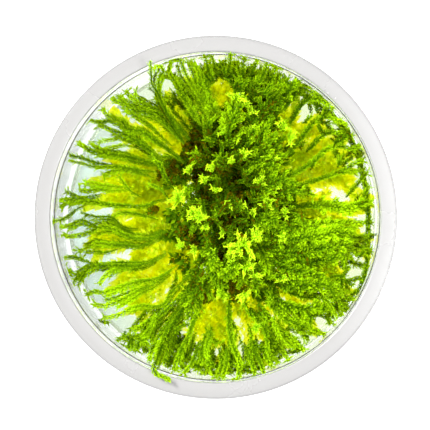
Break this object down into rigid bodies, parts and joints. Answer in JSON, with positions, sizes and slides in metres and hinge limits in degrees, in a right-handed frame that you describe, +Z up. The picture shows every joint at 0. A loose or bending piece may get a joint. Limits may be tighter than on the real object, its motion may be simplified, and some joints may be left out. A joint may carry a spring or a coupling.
{
  "type": "moss clump in a culture cup",
  "caption": "Clump of feathery green moss radiating from a dark crown, growing on clear gel in a round open clear plastic culture cup with a flat flange.",
  "frame": {"origin": "centre of the cup's flat underside, on the cup's axis", "axes": "+Z up along the cup's axis; +X to the right and +Y to the top of the view from above in the picture"},
  "size_m": [0.1, 0.1, 0.0475],
  "materials": {
    "clear_plastic": "clear, slightly hazy moulded plastic",
    "nutrient_gel": "clear wet gel with a faint green tint",
    "moss_crown": "dark, soft, leafy",
    "moss_shoots": "soft, leafy, lets light through"
  },
  "bodies": {
    "root": {"culture_cup": "clear_plastic", "nutrient_gel": "nutrient_gel", "moss_crown": "moss_crown", "moss_plume_01": "moss_shoots", "moss_plume_02": "moss_shoots", "moss_plume_03": "moss_shoots", "moss_plume_04": "moss_shoots", "moss_plume_05": "moss_shoots", "moss_plume_06": "moss_shoots", "moss_plume_07": "moss_shoots", "moss_plume_08": "moss_shoots", "moss_plume_09": "moss_shoots", "moss_plume_10": "moss_shoots", "moss_plume_11": "moss_shoots", "moss_plume_12": "moss_shoots", "moss_plume_13": "moss_shoots", "moss_plume_14": "moss_shoots", "moss_plume_15": "moss_shoots", "moss_plume_16": "moss_shoots", "moss_plume_17": "moss_shoots", "moss_plume_18": "moss_shoots"}
  },
  "joints": []
}
